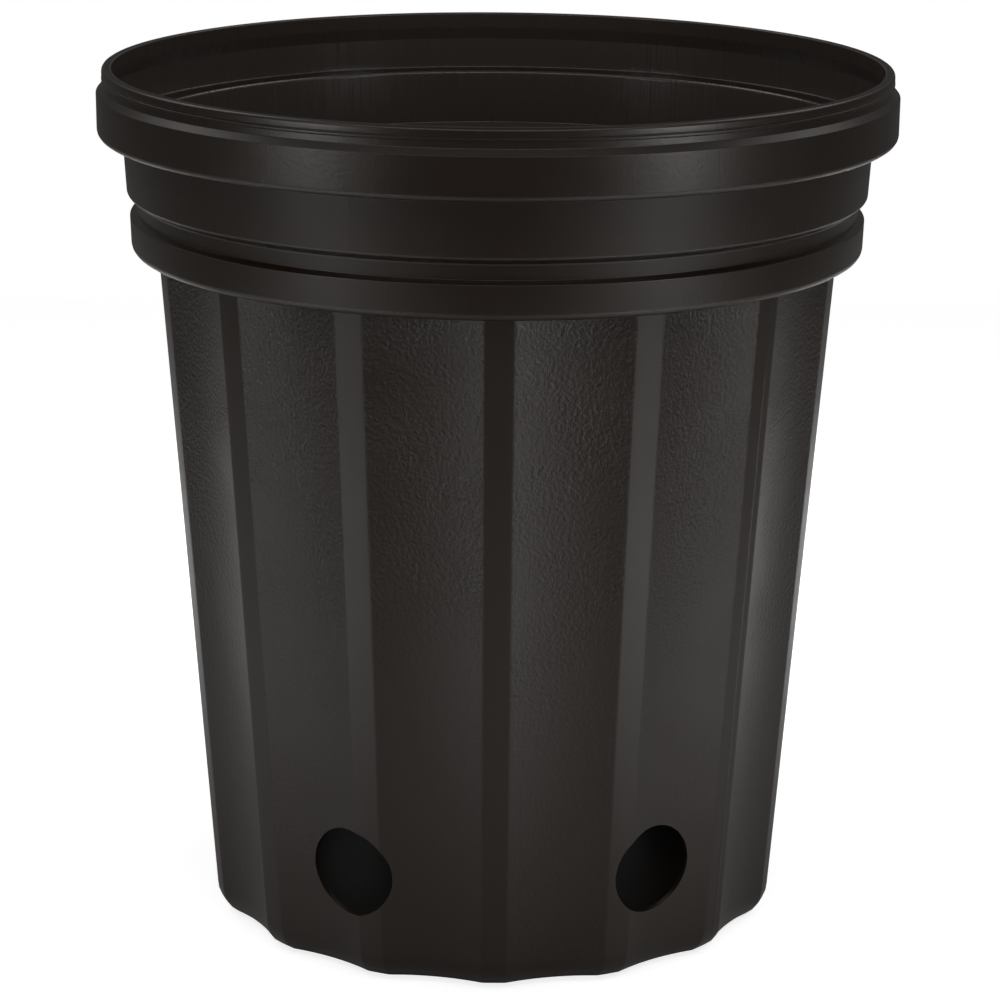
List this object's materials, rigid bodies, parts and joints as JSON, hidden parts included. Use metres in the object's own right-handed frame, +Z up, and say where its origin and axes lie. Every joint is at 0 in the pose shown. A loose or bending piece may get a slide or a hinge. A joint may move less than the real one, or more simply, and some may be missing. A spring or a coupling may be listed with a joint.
{
  "type": "nursery pot",
  "caption": "Round black blow-moulded nursery pot with a stepped rim, a tapered wall of hollow panels between narrow ridges, and round drain holes low in the wall.",
  "frame": {"origin": "centre of the standing ring, on the standing plane", "axes": "+Z up along the pot's axis; the middle of one ridge faces -Y"},
  "size_m": [0.165, 0.165, 0.18],
  "materials": {
    "black_plastic": "satin moulded, with a fine grain on the panels"
  },
  "bodies": {
    "root": {"nursery_pot": "black_plastic"}
  },
  "joints": []
}
